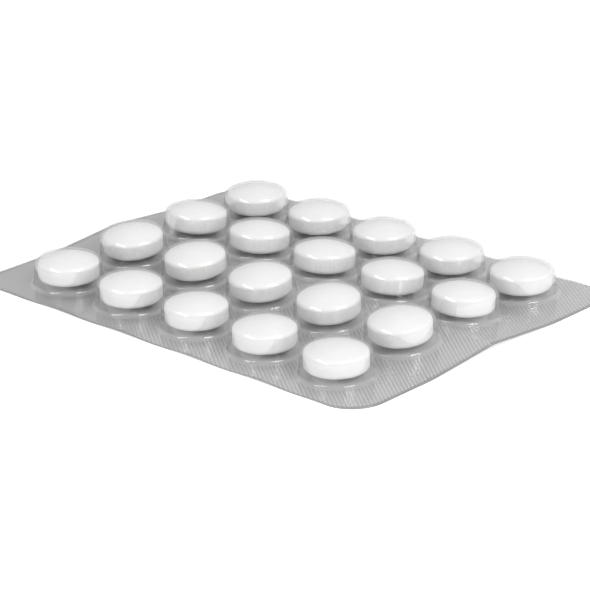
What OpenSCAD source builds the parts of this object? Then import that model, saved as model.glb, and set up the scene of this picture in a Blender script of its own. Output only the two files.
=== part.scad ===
// Blister pack of round tablets: a clear formed film with a pocket for each
// tablet, sealed to a thin foil. The card is bent between the rows of pockets,
// because the rows are stiff and the strips between them are not.
// X runs along a row, Y across the rows, Z up. The origin is under the middle
// of the card, on the level of the surface it lies on.

/* [Card] */
// Length of the card, along the rows
card_l = 100; // [96:0.5:110]
// Width of the card, measured along the bent film
card_w = 75.4; // [74:0.1:84]
// Radius of the card's corners
corner_r = 7; // [3:0.5:10]
// Thickness of the clear film
film_t = 0.25; // [0.15:0.01:0.35]
// Thickness of the foil
foil_t = 0.05; // [0.03:0.01:0.1]

/* [Layout] */
// Pockets in a row
columns = 5; // [1:1:5]
// Distance between neighbouring pockets of a row
column_pitch = 17.56; // [17:0.01:18.5]
// Distance between neighbouring rows, measured along the bent film
row_pitch = 17.74; // [17.5:0.01:18.5]
// How far the pockets sit behind the middle of the card's width
array_shift = 0.5; // [-0.6:0.05:0.6]

/* [Bend] */
// Slope of the two middle rows, which rise to the middle fold
fold_tilt = 4.6; // [0.5:0.1:8]
// Width of the film that bends between two rows
bend_w = 2.2; // [1:0.1:2.3]

/* [Tablet] */
// Diameter of a tablet
tablet_d = 12; // [10:0.1:12.4]
// Height of its straight band
band_h = 3.1; // [2:0.1:4]
// Height of each domed face
dome_h = 1.45; // [1:0.05:1.8]
// Radius that softens the edge between band and dome
rim_r = 0.5; // [0.2:0.05:0.8]

/* [Pocket] */
// Gap between the tablet's band and the pocket wall, at half the tablet's height
wall_gap = 0.44; // [0.3:0.02:0.5]
// Space between the tablet's domed face and the ceiling, which is domed with it
headroom = 0.3; // [0.2:0.05:0.6]
// Space between the tablet and the foil
seat_gap = 0.05; // [0.01:0.01:0.1]
// Draft of the pocket wall
draft = 6; // [3:0.5:8]
// Inside radius where the wall turns into the ceiling
shoulder_r = 1.2; // [0.6:0.1:1.6]
// Outside radius where the wall turns into the flat film
foot_r = 0.5; // [0.2:0.05:0.6]

/* [Hidden] */
rows = 4;
bend_steps = 6;
ceiling_steps = 5;
shoulder_steps = 7;
foot_steps = 5;
dome_steps = 7;
rim_steps = 5;
round_fn = 96;
overrun = 1;

// Each foot ends a little below the film's surface, so that it cuts it cleanly
foot_sink = 0.015;

// The tablet's middle, and the centre and radius of its upper face
tablet_t = band_h + 2 * dome_h;
middle_z = seat_gap + tablet_t / 2;
dome_r = (pow(tablet_d / 2, 2) + pow(dome_h, 2)) / (2 * dome_h);
dome_z = seat_gap + tablet_t - dome_r;
pocket_h = seat_gap + tablet_t + headroom;

// Rows and folds, as distances along the film from the middle fold
fold_s = row_pitch;
front_s = -card_w / 2 - array_shift;
back_s = card_w / 2 - array_shift;

function row_station(r) = (r - (rows - 1) / 2) * row_pitch;
function column_x(c) = (c - (columns - 1) / 2) * column_pitch;

function arc_length_radius(w, turn) = w / (turn * PI / 180);
crest_r = arc_length_radius(bend_w / 2, fold_tilt);
valley_r = arc_length_radius(bend_w, fold_tilt);
slope_l = fold_s - bend_w;
slope_start = [crest_r * sin(fold_tilt), -crest_r * (1 - cos(fold_tilt))];
slope_end = slope_start + slope_l * [cos(fold_tilt), -sin(fold_tilt)];
flat_start = slope_end + valley_r * [sin(fold_tilt), -(1 - cos(fold_tilt))];

// A point of the seal between film and foil, s along it from the middle fold,
// on the side where s is positive: [y, z, slope], with z = 0 on the flat strip
function side_point(s) =
    s < bend_w / 2 ?
        let (turn = fold_tilt * s / (bend_w / 2))
        [crest_r * sin(turn), -crest_r * (1 - cos(turn)) - flat_start.y, -turn]
    : s < bend_w / 2 + slope_l ?
        let (run = s - bend_w / 2)
        [slope_start.x + run * cos(fold_tilt),
         slope_start.y - run * sin(fold_tilt) - flat_start.y, -fold_tilt]
    : s < fold_s + bend_w / 2 ?
        let (left = fold_tilt * (fold_s + bend_w / 2 - s) / bend_w)
        [flat_start.x - valley_r * sin(left), valley_r * (1 - cos(left)), -left]
    : [flat_start.x + s - fold_s - bend_w / 2, 0, 0];

function centred_point(s) =
    let (p = side_point(abs(s)))
    s < 0 ? [-p.x, p.y, -p.z] : p;

// The card's front and back edges lie equally far from the origin
middle_y = (centred_point(front_s).x + centred_point(back_s).x) / 2;

function seal_point(s) =
    let (p = centred_point(s))
    [p.x - middle_y, p.y + foil_t, p.z];

function bend_stations(middle, w) =
    [for (i = [0:bend_steps]) middle - w / 2 + w * i / bend_steps];

card_stations = concat(
    [front_s],
    bend_stations(-fold_s, bend_w),
    bend_stations(0, bend_w),
    bend_stations(fold_s, bend_w),
    [back_s]);

// The seal's outline, moved d along its own normal
function seal_line(d) =
    [for (s = card_stations)
        let (p = seal_point(s))
        [p.x - d * sin(p.z), p.y + d * cos(p.z)]];

function reversed(points) =
    [for (i = [len(points) - 1:-1:0]) points[i]];

function without_first(points) =
    [for (i = [1:len(points) - 1]) points[i]];

function arc(centre, r, start, end, steps) =
    [for (i = [0:steps])
        let (a = start + (end - start) * i / steps)
        centre + r * [cos(a), sin(a)]];

module at_pocket(r, c) {
    p = seal_point(row_station(r));
    translate([column_x(c), p.x, p.y])
        rotate([p.z, 0, 0])
            children();
}

// A bent layer of the card, from d0 to d1 above the seal
module card_layer(d0, d1) {
    intersection() {
        translate([-card_l / 2 - overrun, 0, 0])
            rotate([90, 0, 90])
                linear_extrude(card_l + 2 * overrun)
                    polygon(concat(seal_line(d0), reversed(seal_line(d1))));
        card_outline();
    }
}

// The card from above, with its rounded corners, taller than the bend
module card_outline() {
    flat_w = seal_point(back_s).x - seal_point(front_s).x;
    translate([0, 0, -overrun])
        linear_extrude(pocket_h + 2 * overrun) {
            square([card_l - 2 * corner_r, flat_w], center = true);
            square([card_l, flat_w - 2 * corner_r], center = true);
            for (x = [-1, 1], y = [-1, 1])
                translate([x * (card_l / 2 - corner_r), y * (flat_w / 2 - corner_r)])
                    circle(corner_r, $fn = round_fn);
        }
}

// Centre of the shoulder: one shoulder radius inside the drafted wall and one
// inside the ceiling, so that its arc runs smoothly into both
function shoulder_centre(wall_r, ceiling_r) =
    let (
        start = [wall_r - shoulder_r / cos(draft), middle_z - dome_z],
        up = [-sin(draft), cos(draft)],
        across = start.x * up.y - start.y * up.x,
        run = sqrt(pow(ceiling_r - shoulder_r, 2) - pow(across, 2)) - start * up)
    start + run * up + [0, dome_z];

// Half the section of a pocket, d outside its inner surface and down to z = bottom.
// Foot, wall, shoulder and ceiling keep the same distance all the way round.
function pocket_section(d, bottom) =
    let (
        wall_r = tablet_d / 2 + wall_gap,
        ceiling_r = dome_r + headroom,
        shoulder = shoulder_centre(wall_r, ceiling_r),
        turn = atan2(shoulder.y - dome_z, shoulder.x),
        bend_r = foot_r + film_t,
        foot_z = bend_r - foot_sink,
        foot_x = wall_r + (bend_r - (foot_z - middle_z) * sin(draft)) / cos(draft))
    concat(
        [[0, bottom], [foot_x, bottom]],
        arc([foot_x, foot_z], bend_r - d, 270, 180 + draft, foot_steps),
        arc(shoulder, shoulder_r + d, draft, turn, shoulder_steps),
        without_first(arc([0, dome_z], ceiling_r + d, turn, 90, ceiling_steps)));

module pocket_outside() {
    rotate_extrude($fn = round_fn)
        polygon(pocket_section(film_t, film_t / 2));
}

module pocket_inside() {
    rotate_extrude($fn = round_fn)
        polygon(pocket_section(0, -overrun));
}

module forming_film() {
    color("gainsboro", 0.35)
    difference() {
        union() {
            card_layer(0, film_t);
            for (r = [0:rows - 1], c = [0:columns - 1])
                at_pocket(r, c) pocket_outside();
        }
        for (r = [0:rows - 1], c = [0:columns - 1])
            at_pocket(r, c) pocket_inside();
    }
}

module lidding_foil() {
    color("silver")
        card_layer(-foil_t, 0);
}

// Upper half of a tablet's section: the band, a soft rim and a domed face
function half_tablet() =
    let (
        rim_x = tablet_d / 2 - rim_r,
        rim_z = dome_z + sqrt(pow(dome_r - rim_r, 2) - pow(rim_x, 2)),
        turn = atan2(rim_z - dome_z, rim_x))
    concat(
        arc([rim_x, rim_z], rim_r, 0, turn, rim_steps),
        without_first(arc([0, dome_z], dome_r, turn, 90, dome_steps)));

module tablet() {
    upper = half_tablet();
    lower = [for (p = without_first(reversed(upper))) [p.x, 2 * middle_z - p.y]];
    color("white")
        rotate_extrude($fn = round_fn)
            polygon(concat([[0, seat_gap]], lower, upper));
}

function tablet_name(r, c) = str("tablet_r", r + 1, "c", c + 1);

forming_film();
lidding_foil();
for (r = [0:rows - 1], c = [0:columns - 1])
    at_pocket(r, c) tablet();
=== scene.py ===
import math
import bpy
import bmesh
import numpy as np
from mathutils import Matrix, Quaternion, Vector


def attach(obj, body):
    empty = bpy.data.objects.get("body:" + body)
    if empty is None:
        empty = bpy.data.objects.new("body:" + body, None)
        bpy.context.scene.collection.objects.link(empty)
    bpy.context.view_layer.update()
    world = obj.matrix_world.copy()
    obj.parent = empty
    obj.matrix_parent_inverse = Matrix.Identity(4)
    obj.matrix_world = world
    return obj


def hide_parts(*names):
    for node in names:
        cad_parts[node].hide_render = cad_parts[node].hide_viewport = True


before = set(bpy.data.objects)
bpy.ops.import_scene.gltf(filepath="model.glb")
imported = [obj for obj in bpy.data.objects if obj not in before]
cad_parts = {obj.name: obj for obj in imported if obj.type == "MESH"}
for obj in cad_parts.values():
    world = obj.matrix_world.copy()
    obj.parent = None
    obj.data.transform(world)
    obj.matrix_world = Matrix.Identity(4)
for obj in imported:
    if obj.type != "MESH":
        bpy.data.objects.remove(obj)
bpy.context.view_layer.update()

mm = 0.001
sameWithin = 0.002 * mm      # points nearer than this become one
print("frame loaded:", len(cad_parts), "nodes")

# The card as the frame has it, in millimetres.
card = dict(
    length=100.0,
    width=75.4,
    trim=0.005,          # the visible edges stay this much inside the frame's
    cornerRadius=7.0,
    filmThickness=0.25,
    foilThickness=0.05,
    sealLine=0.01,       # between the film's underside and the foil, so that the two never share a face
    columns=5,
    rows=4,
    columnPitch=17.56,
    rowPitch=17.74,
    arrayShift=0.5,
    foldTilt=4.6,
    bendWidth=2.2,
    pathReach=45.0,      # its path is worked out this far to either side of the middle fold
    pathPoints=9001,
    edgeWave=0.26,       # how far the front and back margins lift between two pockets
    waveStarts=(7.6, 10.5),  # from a pocket's axis
    waveEnds=(2.1, 2.6),     # from the middle, in column pitches
    sealStarts=(7.3, 7.9),  # from a pocket's axis
    foilSteps=(240, 120, 14),  # points along, across between the corners, and round a corner
)

outerRow = 1.5 * card["rowPitch"]
rowStations = [(r - (card["rows"] - 1) / 2) * card["rowPitch"] for r in range(card["rows"])]
columnPlaces = [(c - (card["columns"] - 1) / 2) * card["columnPitch"] for c in range(card["columns"])]
frontEdge = -card["width"] / 2 - card["arrayShift"] + card["trim"]
backEdge = card["width"] / 2 - card["arrayShift"] - card["trim"]
cardEnd = card["length"] / 2 - card["trim"]


def cardPath(s):
    # y, z and slope of the seal, s along it from the middle fold. The slope is level, then changes
    # evenly over each bend, and y and z are the running sums of its cosine and sine.
    half, fold = card["bendWidth"] / 2, card["rowPitch"]
    tilt = math.radians(card["foldTilt"])
    reach = card["pathReach"]
    line = np.linspace(-reach, reach, card["pathPoints"])
    knots = [-reach, -fold - half, -fold + half, -half, half, fold - half, fold + half, reach]
    slope = np.interp(line, knots, [0, 0, tilt, tilt, -tilt, -tilt, 0, 0])
    step = line[1] - line[0]
    y = np.concatenate([[0], np.cumsum(np.cos((slope[1:] + slope[:-1]) / 2) * step)])
    z = np.concatenate([[0], np.cumsum(np.sin((slope[1:] + slope[:-1]) / 2) * step)])
    y = y - (np.interp(frontEdge, line, y) + np.interp(backEdge, line, y)) / 2
    return np.interp(s, line, y), np.interp(s, line, z) + card["foilThickness"], np.interp(s, line, slope)


def easeBetween(a, b, v):
    # 0 up to a, 1 from b on, and 3t^2 - 2t^3 between them.
    t = np.clip((v - a) / (b - a), 0, 1)
    return t * t * (3 - 2 * t)


def onCard(x, s, lift):
    # A point lift above the seal. Beyond the outer rows the margin rises towards its edge by
    # edgeWave times a cosine of one pitch, level at each pocket and highest between two of them.
    # The rise fades out next to a pocket's foot and past the end columns.
    y, z, slope = cardPath(s)
    pitch = card["columnPitch"]
    nearest = np.clip(np.round(x / pitch) * pitch, columnPlaces[0], columnPlaces[-1])
    fromPocket = np.hypot(x - nearest, np.abs(s) - outerRow)
    rise = easeBetween(outerRow, np.where(s > 0, backEdge, -frontEdge), np.abs(s))
    wave = 0.5 - 0.5 * np.cos(2 * np.pi * x / pitch)
    fade = easeBetween(*card["waveStarts"], fromPocket)
    ends = 1 - easeBetween(*card["waveEnds"], np.abs(x) / pitch)
    z = z + card["edgeWave"] * rise * wave * fade * ends
    return np.stack([x, y - lift * np.sin(slope), z + lift * np.cos(slope)], axis=-1) * mm


def atPocket(column, row, along, across, height):
    # A point beside a pocket's axis: along and across lie in its row's own tilted plane.
    y, z, slope = cardPath(rowStations[row])
    return np.stack([
        columnPlaces[column] + along,
        y + across * np.cos(slope) - height * np.sin(slope),
        z + across * np.sin(slope) + height * np.cos(slope)], axis=-1) * mm


def meshFrom(name, vertices, faces, material):
    mesh = bpy.data.meshes.new(name)
    mesh.from_pydata(vertices.reshape(-1, 3).tolist(), [], faces)
    piece = bpy.data.objects.new(name, mesh)
    bpy.context.scene.collection.objects.link(piece)
    work = bmesh.new()
    work.from_mesh(mesh)
    bmesh.ops.remove_doubles(work, verts=work.verts, dist=sameWithin)
    bmesh.ops.recalc_face_normals(work, faces=work.faces)
    work.to_mesh(mesh)
    work.free()
    mesh.polygons.foreach_set("use_smooth", np.ones(len(mesh.polygons), dtype=bool))
    mesh.materials.append(material)
    return piece


def gridFaces(rings, around, closed, start=0):
    # Quads of a grid of rings by around points, joined round the end where it is closed.
    i, j = np.meshgrid(np.arange(rings - 1), np.arange(around if closed else around - 1), indexing="ij")
    k = (j + 1) % around
    quads = np.stack([i * around + j, i * around + k, (i + 1) * around + k, (i + 1) * around + j], axis=-1)
    return (quads.reshape(-1, 4) + start).tolist()


def arcPoints(centre, radius, first, last, count):
    # Points on an arc from angle first to last, in degrees.
    angle = np.radians(np.linspace(first, last, count))
    return np.stack([centre[0] + radius * np.cos(angle), centre[1] + radius * np.sin(angle)], axis=-1)


def fitAndLink(piece, node):
    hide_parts(node)
    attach(piece, "root")


# Shader maths.

class Amount:
    # A number socket that can be added, multiplied and so on.

    def __init__(self, tree, socket):
        self.tree = tree
        self.socket = socket

    def maths(self, operation, *values):
        node = self.tree.nodes.new("ShaderNodeMath")
        node.operation = operation
        for i, value in enumerate(values):
            if isinstance(value, Amount):
                self.tree.links.new(value.socket, node.inputs[i])
            else:
                node.inputs[i].default_value = value
        return Amount(self.tree, node.outputs[0])

    def __add__(self, other):
        return self.maths("ADD", self, other)

    def __radd__(self, other):
        return self.maths("ADD", other, self)

    def __sub__(self, other):
        return self.maths("SUBTRACT", self, other)

    def __rsub__(self, other):
        return self.maths("SUBTRACT", other, self)

    def __mul__(self, other):
        return self.maths("MULTIPLY", self, other)

    def __rmul__(self, other):
        return self.maths("MULTIPLY", other, self)

    def __pow__(self, other):
        return self.maths("POWER", self, other)

    def sine(self):
        return self.maths("SINE", self)

    def size(self):
        return self.maths("ABSOLUTE", self)

    def root(self):
        return self.maths("SQRT", self)

    def orMore(self, other):
        return self.maths("MAXIMUM", self, other)

    def orLess(self, other):
        return self.maths("MINIMUM", self, other)

    def wrapped(self, low, high):
        return self.maths("WRAP", self, high, low)


class Finish:
    # A material or a world being put together.

    def __init__(self, name, world=None):
        self.holder = world or bpy.data.materials.new(name)
        self.holder.use_nodes = True
        self.tree = self.holder.node_tree
        self.tree.nodes.clear()

    def add(self, kind, settings=None, **sockets):
        # A node of a type: its settings first, then its sockets' values or links. An underscore in
        # a socket's name stands for a blank, and a name such as input1 for a socket by its number.
        node = self.tree.nodes.new(kind)
        for key, value in (settings or {}).items():
            setattr(node, key, value)
        for key, value in sockets.items():
            if key.startswith("input"):
                socket = node.inputs[int(key[len("input"):])]
            else:
                socket = node.inputs[key.replace("_", " ")]
            if isinstance(value, Amount):
                self.tree.links.new(value.socket, socket)
            elif isinstance(value, bpy.types.NodeSocket):
                self.tree.links.new(value, socket)
            else:
                socket.default_value = value
        return node

    def amount(self, socket):
        return Amount(self.tree, socket)

    def place(self):
        # The piece's own x and y, in millimetres, as two amounts.
        split = self.add("ShaderNodeSeparateXYZ", Vector=self.add("ShaderNodeTexCoord").outputs["Object"])
        return [self.amount(split.outputs[i]) * 1000 for i in range(2)]

    def noise(self, scale, detail=2.0, stretch=(1, 1, 1)):
        # Even noise, scale features a metre, stretched by one factor an axis.
        mapping = self.add("ShaderNodeMapping", Vector=self.add("ShaderNodeTexCoord").outputs["Object"],
                           Scale=stretch)
        node = self.add("ShaderNodeTexNoise", Vector=mapping.outputs[0], Scale=scale, Detail=detail)
        return self.amount(node.outputs["Fac"])

    def eased(self, value, low, high):
        # 0 below low and 1 above high, eased between them.
        node = self.add("ShaderNodeMapRange", {"interpolation_type": "SMOOTHSTEP"}, Value=value,
                        From_Min=low, From_Max=high)
        return self.amount(node.outputs["Result"])

    def sealMask(self, x, y):
        # 0 at a pocket and 1 on the seal: the distance in plan from the nearest pocket's axis, found
        # along x by wrapping at the pitch as far as the end columns and along y as the least of the
        # rows' distances, eased.
        inside = x.wrapped(-card["columnPitch"] / 2, card["columnPitch"] / 2).size()
        column = inside.orMore(x.size() - columnPlaces[-1])
        places = [float(cardPath(station)[0]) for station in rowStations]
        row = (y - places[0]).size()
        for place in places[1:]:
            row = row.orLess((y - place).size())
        return self.eased((column * column + row * row).root(), *card["sealStarts"])

    def colours(self, factor, first, second):
        node = self.add("ShaderNodeMix", {"data_type": "RGBA"}, Factor=factor, input6=first, input7=second)
        return node.outputs[2]

    def either(self, factor, first, second):
        return self.add("ShaderNodeMixShader", Fac=factor, input1=first, input2=second).outputs[0]

    def backgroundSeen(self):
        # 1 for the rays that show the background: the camera's own, and those off metal and gloss.
        path = self.add("ShaderNodeLightPath")
        seen = self.amount(path.outputs["Is Camera Ray"])
        for ray in ("Is Glossy Ray", "Is Transmission Ray"):
            seen = seen.orMore(self.amount(path.outputs[ray]))
        return seen

    def show(self, socket):
        isWorld = isinstance(self.holder, bpy.types.World)
        kind = "ShaderNodeOutputWorld" if isWorld else "ShaderNodeOutputMaterial"
        self.tree.links.new(socket, self.add(kind).inputs["Surface"])
        return self.holder


# Tablet.

tablet = dict(
    radius=6.0,
    bandHeight=3.1,
    domeHeight=1.45,
    rimRadius=0.9,       # softer than the frame's, as the coat rounds it
    rimPoints=7,
    domePoints=12,
    around=72,
    shade=(0.84, 0.84, 0.835, 1),
    lighter=(0.89, 0.89, 0.885, 1),
    toneScale=420,       # noise features a metre
    roughness=0.45,
    gloss=0.15,          # of the usual reflection
    peelScale=2600,
    peelDepth=0.03 * mm,
    peelBump=0.12,
    peelRoughness=0.08,
)

tabletHeight = tablet["bandHeight"] + 2 * tablet["domeHeight"]
faceRadius = (tablet["radius"] ** 2 + tablet["domeHeight"] ** 2) / (2 * tablet["domeHeight"])


def tabletProfile():
    # Radius and height of a tablet from its lowest point to its highest, from its middle: a dome of
    # large radius, a small arc for the rim and the straight band, mirrored.
    domeZ = tabletHeight / 2 - faceRadius
    rimX = tablet["radius"] - tablet["rimRadius"]
    rimZ = domeZ + math.sqrt((faceRadius - tablet["rimRadius"]) ** 2 - rimX ** 2)
    turn = math.degrees(math.atan2(rimZ - domeZ, rimX))
    rim = arcPoints((rimX, rimZ), tablet["rimRadius"], 0, turn, tablet["rimPoints"])
    dome = arcPoints((0, domeZ), faceRadius, turn, 90, tablet["domePoints"])[1:]
    upper = np.concatenate([[[tablet["radius"], 0.0]], rim, dome])
    return np.concatenate([(upper * [1, -1])[:0:-1], upper])


def makeTablet(name, column, row, material):
    # The profile turned about the pocket's axis.
    profile = tabletProfile()
    angle = np.linspace(0, 2 * np.pi, tablet["around"], endpoint=False)
    radius = profile[:, :1]
    height = profile[:, 1:] + pocket["seatGap"] + tabletHeight / 2
    points = atPocket(column, row, radius * np.cos(angle), radius * np.sin(angle), height + 0 * angle)
    return meshFrom(name, points, gridFaces(len(profile), len(angle), True), material)


def tabletFinish():
    # White film coat over pressed powder: even, with a soft sheen and a trace of orange peel.
    # The tone is a noise between shade and lighter, and the peel's noise makes the bump and adds
    # peelRoughness times itself to the roughness.
    finish = Finish("white_coat")
    peel = finish.noise(tablet["peelScale"], 2)
    bump = finish.add("ShaderNodeBump", Strength=tablet["peelBump"], Distance=tablet["peelDepth"],
                      Height=peel)
    tone = finish.colours(finish.noise(tablet["toneScale"], 3), tablet["shade"], tablet["lighter"])
    body = finish.add("ShaderNodeBsdfPrincipled", Base_Color=tone,
                      Roughness=peel * tablet["peelRoughness"] + tablet["roughness"],
                      Specular_IOR_Level=tablet["gloss"], Normal=bump.outputs[0])
    return finish.show(body.outputs[0])


# Film: a pocket's profile, carried round each pocket and out to its share of the card.

pocket = dict(
    wallGap=0.44,        # at half the tablet's height
    headroom=0.3,
    seatGap=0.05,
    draft=6.0,
    shoulderRadius=1.2,
    footRadius=0.5,
    ceilingPoints=7,
    shoulderPoints=8,
    footPoints=6,
    wallShares=(0.34, 0.67),                       # rings between shoulder and foot
    flatShares=(0.12, 0.3, 0.5, 0.68, 0.84, 1.0),  # rings between foot and the cell's edge
    aroundPerSide=20,
)

clear = dict(
    through=(0.985, 0.985, 0.985, 1),
    edgeShade=(0.47, 0.47, 0.47, 1),  # painted shade: a grey where one looks along the wall, standing in for its darkening by refraction
    gloss=0.06,
    sealedGloss=0.2,     # over the knurled seal, which roughens the film
    straightOn=0.06,     # share of light that one surface throws back, seen straight on
    most=0.15,           # and the most that it throws back
    sealedLoss=0.1,      # how much less on the seal, where the foil lies against it
    rippleScale=220,     # noise features a metre
    rippleDepth=0.04 * mm,
    rippleBump=0.1,
)


def pocketProfile():
    # Radius and height above the seal of the film's outer surface, from the middle of the ceiling to
    # the foot: an arc about the dome's own centre, the shoulder's arc, the drafted wall, which passes
    # wallGap outside the tablet at half its height, and the foot's arc. Each runs into the next.
    thickness, bend = card["filmThickness"], pocket["shoulderRadius"]
    draft = math.radians(pocket["draft"])
    middle = pocket["seatGap"] + tabletHeight / 2
    domeZ = pocket["seatGap"] + tabletHeight - faceRadius
    wallRadius = tablet["radius"] + pocket["wallGap"]
    ceilingRadius = faceRadius + pocket["headroom"] - card["trim"]
    start = Vector((wallRadius - bend / math.cos(draft), middle - domeZ))
    up = Vector((-math.sin(draft), math.cos(draft)))
    aside = start.x * up.y - start.y * up.x
    centre = start + (math.sqrt((ceilingRadius - bend) ** 2 - aside ** 2) - start.dot(up)) * up
    turn = math.degrees(math.atan2(centre.y, centre.x))
    footZ = pocket["footRadius"] + thickness
    footX = wallRadius + (footZ - (footZ - middle) * math.sin(draft)) / math.cos(draft)
    ceiling = arcPoints((0, domeZ), ceilingRadius + thickness, 90, turn, pocket["ceilingPoints"])[:-1]
    shoulder = arcPoints((centre.x, centre.y + domeZ), bend + thickness, turn, pocket["draft"],
                         pocket["shoulderPoints"])
    foot = arcPoints((footX, footZ), pocket["footRadius"], 180 + pocket["draft"], 270,
                     pocket["footPoints"])
    share = np.array(pocket["wallShares"])[:, None]
    wall = shoulder[-1] * (1 - share) + foot[0] * share
    return np.concatenate([ceiling, shoulder, wall, foot])


def roundedCorner(x, s):
    # A point past a corner's circle is drawn back onto it, towards the circle's centre.
    r = card["cornerRadius"]
    cx = np.sign(x) * (cardEnd - r)
    cs = np.where(s > 0, backEdge - r, frontEdge + r)
    dx, ds = x - cx, s - cs
    beyond = (np.abs(x) > np.abs(cx)) & (np.sign(s) * ds > 0)
    far = np.hypot(dx, ds)
    pull = np.where(beyond & (far > r), r / np.maximum(far, 1e-9), 1.0)
    return cx + dx * pull, cs + ds * pull


def cellBoundary(column, row):
    # The edge of one pocket's share of the film: a rectangle in x and s, with the card's round
    # corner drawn in where it has one. Neighbours have the same points, which meshFrom joins.
    xMiddles = [(a + b) / 2 for a, b in zip(columnPlaces, columnPlaces[1:])]
    xEnds = [-cardEnd] + xMiddles + [cardEnd]
    sEnds = [frontEdge, -card["rowPitch"], 0.0, card["rowPitch"], backEdge]
    x0, x1, s0, s1 = xEnds[column], xEnds[column + 1], sEnds[row], sEnds[row + 1]
    t = np.arange(pocket["aroundPerSide"]) / pocket["aroundPerSide"]
    x = np.concatenate([x0 + (x1 - x0) * t, np.full(len(t), x1), x1 + (x0 - x1) * t, np.full(len(t), x0)])
    s = np.concatenate([np.full(len(t), s0), s0 + (s1 - s0) * t, np.full(len(t), s1), s1 + (s0 - s1) * t])
    return roundedCorner(x, s)


def filmCell(column, row, profile):
    # Rings of points round one pocket: the profile turned about the pocket's axis, then straight
    # lines from the foot's circle to the cell's edge.
    x0, s0 = columnPlaces[column], rowStations[row]
    bx, bs = cellBoundary(column, row)
    angle = np.arctan2(bs - s0, bx - x0)
    radius, height = profile[:, :1], profile[:, 1:]
    turned = atPocket(column, row, radius * np.cos(angle), radius * np.sin(angle), height + 0 * angle)
    share = np.array(pocket["flatShares"])[:, None]
    footX = x0 + profile[-1, 0] * np.cos(angle)
    footS = s0 + profile[-1, 0] * np.sin(angle)
    flat = onCard(footX + (bx - footX) * share, footS + (bs - footS) * share, card["filmThickness"])
    return np.concatenate([turned, flat])


def makeFilm(material):
    profile = pocketProfile()
    vertices, faces = [], []
    for row in range(card["rows"]):
        for column in range(card["columns"]):
            cell = filmCell(column, row, profile)
            start = sum(len(v) for v in vertices)
            faces += gridFaces(cell.shape[0], cell.shape[1], True, start)
            vertices.append(cell.reshape(-1, 3))
    film = meshFrom("film_shell", np.concatenate(vertices), faces, material)
    wall = film.modifiers.new("wall", "SOLIDIFY")
    wall.thickness = card["filmThickness"] * mm
    wall.offset = -1
    wall.use_even_offset = True
    return film


def clearFilmFinish():
    # Clear stiff film, thin enough to see through without bending what is behind it. Each surface
    # throws back straightOn of the light, rising with the fifth power of how edge-on it is seen up to
    # most, less on the seal. The sixth power of the same turns clear film into a grey, painted shade
    # that stands in for the darkening by refraction where one looks along the wall.
    finish = Finish("clear_film")
    bump = finish.add("ShaderNodeBump", Strength=clear["rippleBump"], Distance=clear["rippleDepth"],
                      Height=finish.noise(clear["rippleScale"], 2))
    edge = finish.amount(finish.add("ShaderNodeLayerWeight", Blend=0.5).outputs["Facing"])
    x, y = finish.place()
    sealed = finish.sealMask(x, y)
    reflected = (clear["straightOn"] + (1 - clear["straightOn"]) * edge ** 5).orLess(clear["most"])
    reflected = reflected * (1 - sealed * clear["sealedLoss"])
    seenThrough = finish.add("ShaderNodeBsdfTransparent", Color=clear["through"])
    # Painted shade along the wall's silhouette.
    shadeAlongWall = finish.add("ShaderNodeBsdfDiffuse", Color=clear["edgeShade"])
    roughness = clear["gloss"] + sealed * (clear["sealedGloss"] - clear["gloss"])
    coat = finish.add("ShaderNodeBsdfAnisotropic", Color=(1, 1, 1, 1), Roughness=roughness,
                      Normal=bump.outputs[0])
    body = finish.either(edge ** 6, seenThrough.outputs[0], shadeAlongWall.outputs[0])
    return finish.show(finish.either(reflected, body, coat.outputs[0]))


# Foil.

knurl = dict(
    pitch=0.715,           # between two ribs, mm
    direction=(0.6, 0.8),  # across the strong ribs, in x and y
    crossStrength=0.35,
    crestHighlight=0.45,         # painted highlight: how much lighter the ribs' crests are made, as if they catch the light
    smoothAt=-22.0,        # x where the pattern has faded out
    fullAt=28.0,
    wanderScale=25,        # noise features a metre, which shift the fading by up to wander mm
    wander=20,
    patchScale=160,        # and those which vary the pattern's strength, from low by spread
    patchLow=0.3,
    patchSpread=1.4,
    depth=0.04 * mm,
    bump=0.4,
)

foil = dict(
    darker=(0.19, 0.19, 0.193, 1),  # towards the smooth end
    lighter=(0.52, 0.52, 0.525, 1),  # towards the knurled end
    knurlLightShare=0.55,    # painted light: the share of the tone that makes the knurled end lighter, from the knurl's own fading
    cloudShare=0.45,     # and from a noise
    cloudScale=60,       # noise features a metre
    pocketLightPaint=0.5,       # painted light: how much lighter the foil is made inside the pockets, lifting the shade there
    metal=0.2,
    roughness=0.35,
    rolledScale=900,
    rolledStretch=(1, 0.06, 1),
    rolledRoughness=0.1,
)


def makeFoil(material):
    # The foil as a grid in x and s whose rows shorten towards the front and back edges, so that its
    # outline has the card's round corners. The rows lie at even angles of a corner.
    along, across, corner = card["foilSteps"]
    r = card["cornerRadius"]
    past = r * np.sin(np.linspace(0, math.pi / 2, corner))
    straight = np.linspace(frontEdge + r, backEdge - r, across)[1:-1]
    s = np.concatenate([(frontEdge + r - past)[::-1], straight, backEdge - r + past])[:, None]
    past = np.concatenate([past[::-1], 0 * straight, past])[:, None]
    x = (cardEnd - r + np.sqrt(r * r - past * past)) * np.linspace(-1, 1, along)[None, :]
    grid = onCard(x, np.broadcast_to(s, x.shape), -card["sealLine"])
    sheet = meshFrom("foil_sheet", grid, gridFaces(len(s), along, False), material)
    wall = sheet.modifiers.new("wall", "SOLIDIFY")
    wall.thickness = (card["foilThickness"] - card["sealLine"]) * mm
    wall.offset = -1
    return sheet


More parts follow.
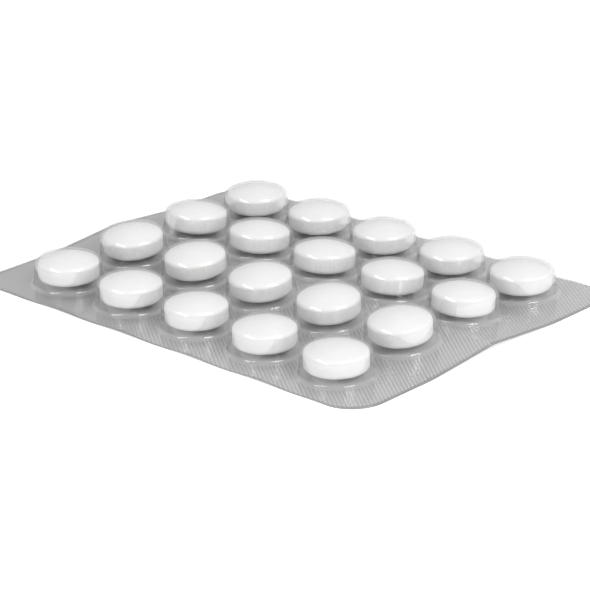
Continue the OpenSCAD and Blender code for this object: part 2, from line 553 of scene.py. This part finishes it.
def foilFinish():
    # Aluminium foil, rolled satin. Two crossed sines of one pitch make the seal's knurl, strong
    # across one diagonal and weak across the other, outside each pocket's circle: their sum times
    # worked, times the seal's mask, times a noise. The tone goes from darker to lighter by a share of
    # worked, which paints the knurled end lighter for the light its ribs scatter, and cloudShare of a
    # noise, plus that height times a factor, which paints highlights on the ribs' crests, plus painted
    # light inside the pockets, where there is no seal, to lift the shade there. The roughness adds a
    # noise drawn out along the rolling.
    finish = Finish("satin_foil")
    x, y = finish.place()
    a, b = knurl["direction"]
    turns = 2 * math.pi / knurl["pitch"]
    ribs = ((x * a + y * b) * turns).sine()
    cross = ((x * b - y * a) * turns).sine()
    shifted = x + finish.noise(knurl["wanderScale"]) * knurl["wander"]
    worked = finish.eased(shifted, knurl["smoothAt"], knurl["fullAt"])
    sealed = finish.sealMask(x, y)
    patches = knurl["patchLow"] + finish.noise(knurl["patchScale"]) * knurl["patchSpread"]
    height = (ribs + cross * knurl["crossStrength"]) * worked * sealed * patches
    bump = finish.add("ShaderNodeBump", Strength=knurl["bump"], Distance=knurl["depth"], Height=height)
    clouds = finish.noise(foil["cloudScale"], 2)
    # Painted light: a highlight on the knurl's crests, and light inside the pockets where there is no
    # seal.
    change = height * knurl["crestHighlight"] + (1 - sealed) * foil["pocketLightPaint"]
    # The knurled end's share is painted light, for the light its ribs scatter; the noise's share is the
    # foil's own tone.
    share = worked * foil["knurlLightShare"] + clouds * foil["cloudShare"] + change
    tone = finish.colours(share, foil["darker"], foil["lighter"])
    rolled = finish.noise(foil["rolledScale"], 3, foil["rolledStretch"])
    body = finish.add("ShaderNodeBsdfPrincipled", Base_Color=tone, Metallic=foil["metal"],
                      Roughness=foil["roughness"] + rolled * foil["rolledRoughness"],
                      Normal=bump.outputs[0])
    return finish.show(body.outputs[0])


film = makeFilm(clearFilmFinish())
fitAndLink(film, "forming_film")
print("film made:", len(film.data.polygons), "faces")

sheet = makeFoil(foilFinish())
fitAndLink(sheet, "lidding_foil")
print("foil made:", len(sheet.data.polygons), "faces")

coat = tabletFinish()
for row in range(card["rows"]):
    for column in range(card["columns"]):
        place = f"r{row + 1}c{column + 1}"
        fitAndLink(makeTablet("pill_" + place, column, row, coat), "tablet_" + place)
print("tablets made")

# Camera: the photograph's place and angle, in millimetres and degrees.

view = dict(
    azimuth=43.148,
    elevation=21.316,
    roll=-1.056,
    distance=514.26,
    aside=-0.658,
    above=1.318,
    focal=2652.5,         # in pixels of the photograph's frame
    framePixels=590,
    sensor=36,
    near=0.01,            # in metres, and so is far
    far=20,
)


def makeCamera():
    # back points from the card to the camera; right and up are turned about it by roll.
    a, e, roll = (math.radians(view[key]) for key in ("azimuth", "elevation", "roll"))
    back = Vector((math.sin(a) * math.cos(e), -math.cos(a) * math.cos(e), math.sin(e)))
    level = Vector((math.cos(a), math.sin(a), 0))
    upright = back.cross(level)
    right = math.cos(roll) * level + math.sin(roll) * upright
    up = math.cos(roll) * upright - math.sin(roll) * level
    place = (view["distance"] * back - view["aside"] * right - view["above"] * up) * mm
    data = bpy.data.cameras.new("camera")
    data.sensor_width = view["sensor"]
    data.lens = view["focal"] / view["framePixels"] * view["sensor"]
    data.clip_start = view["near"]
    data.clip_end = view["far"]
    camera = bpy.data.objects.new("camera", data)
    bpy.context.scene.collection.objects.link(camera)
    camera.matrix_world = Matrix.Translation(place) @ Matrix((right, up, back)).transposed().to_4x4()
    bpy.context.scene.camera = camera


# Studio, in metres: a pale floor, two soft boxes, two wide weak ones from the side and the front,
# and an even room.

studio = dict(
    floorSize=6.0,
    floorHeight=-0.00002,  # just under the card
    floorColour=(0.86, 0.86, 0.86, 1),
    floorGlow=0.6,         # towards the object only
    roomStrength=0.47,
)

# Each box: azimuth from the camera's own, elevation, distance, width, height, turn about its own
# axis, power, and whether gloss shows it.
boxes = (
    dict(side=-52, elevation=38, distance=0.9, width=0.85, height=0.17, turn=-38, power=2.5, gloss=True),
    dict(side=44, elevation=45, distance=0.9, width=0.38, height=0.42, turn=0, power=3.2, gloss=True),
    dict(side=88, elevation=27, distance=1.3, width=1.7, height=1.1, turn=0, power=4.8, gloss=False),
    dict(side=5, elevation=14, distance=1.3, width=1.3, height=0.5, turn=0, power=3.4, gloss=False),
)


def makeFloor():
    half, height = studio["floorSize"] / 2, studio["floorHeight"]
    corners = [[-half, -half, height], [half, -half, height], [half, half, height], [-half, half, height]]
    finish = Finish("floor")
    paint = finish.add("ShaderNodeBsdfDiffuse", Color=studio["floorColour"])
    glow = finish.add("ShaderNodeEmission", Color=(1, 1, 1, 1), Strength=studio["floorGlow"])
    none = finish.add("ShaderNodeEmission", Color=(0, 0, 0, 1), Strength=0.0)
    pick = finish.either(finish.backgroundSeen(), none.outputs[0], glow.outputs[0])
    both = finish.add("ShaderNodeAddShader", input0=paint.outputs[0], input1=pick)
    mesh = bpy.data.meshes.new("floor")
    mesh.from_pydata(corners, [], [[0, 1, 2, 3]])
    floor = bpy.data.objects.new("floor", mesh)
    mesh.materials.append(finish.show(both.outputs[0]))
    bpy.context.scene.collection.objects.link(floor)


def makeLights():
    for box in boxes:
        a = math.radians(view["azimuth"] + box["side"])
        e = math.radians(box["elevation"])
        away = Vector((math.sin(a) * math.cos(e), -math.cos(a) * math.cos(e), math.sin(e)))
        data = bpy.data.lights.new("soft_box", "AREA")
        data.shape = "RECTANGLE"
        data.size, data.size_y = box["width"], box["height"]
        data.energy = box["power"]
        lamp = bpy.data.objects.new("soft_box", data)
        lamp.location = away * box["distance"]
        turned = away.to_track_quat("Z", "Y") @ Quaternion((0, 0, 1), math.radians(box["turn"]))
        lamp.rotation_euler = turned.to_euler()
        lamp.visible_glossy = box["gloss"]
        bpy.context.scene.collection.objects.link(lamp)


def makeRoom():
    world = bpy.data.worlds.new("room")
    bpy.context.scene.world = world
    finish = Finish("room", world)
    soft = finish.add("ShaderNodeBackground", Color=(1, 1, 1, 1), Strength=studio["roomStrength"])
    white = finish.add("ShaderNodeBackground", Color=(1, 1, 1, 1), Strength=1.0)
    finish.show(finish.either(finish.backgroundSeen(), soft.outputs[0], white.outputs[0]))


makeCamera()
makeFloor()
makeLights()
makeRoom()
bpy.context.scene.view_settings.view_transform = "Standard"
print("studio made")
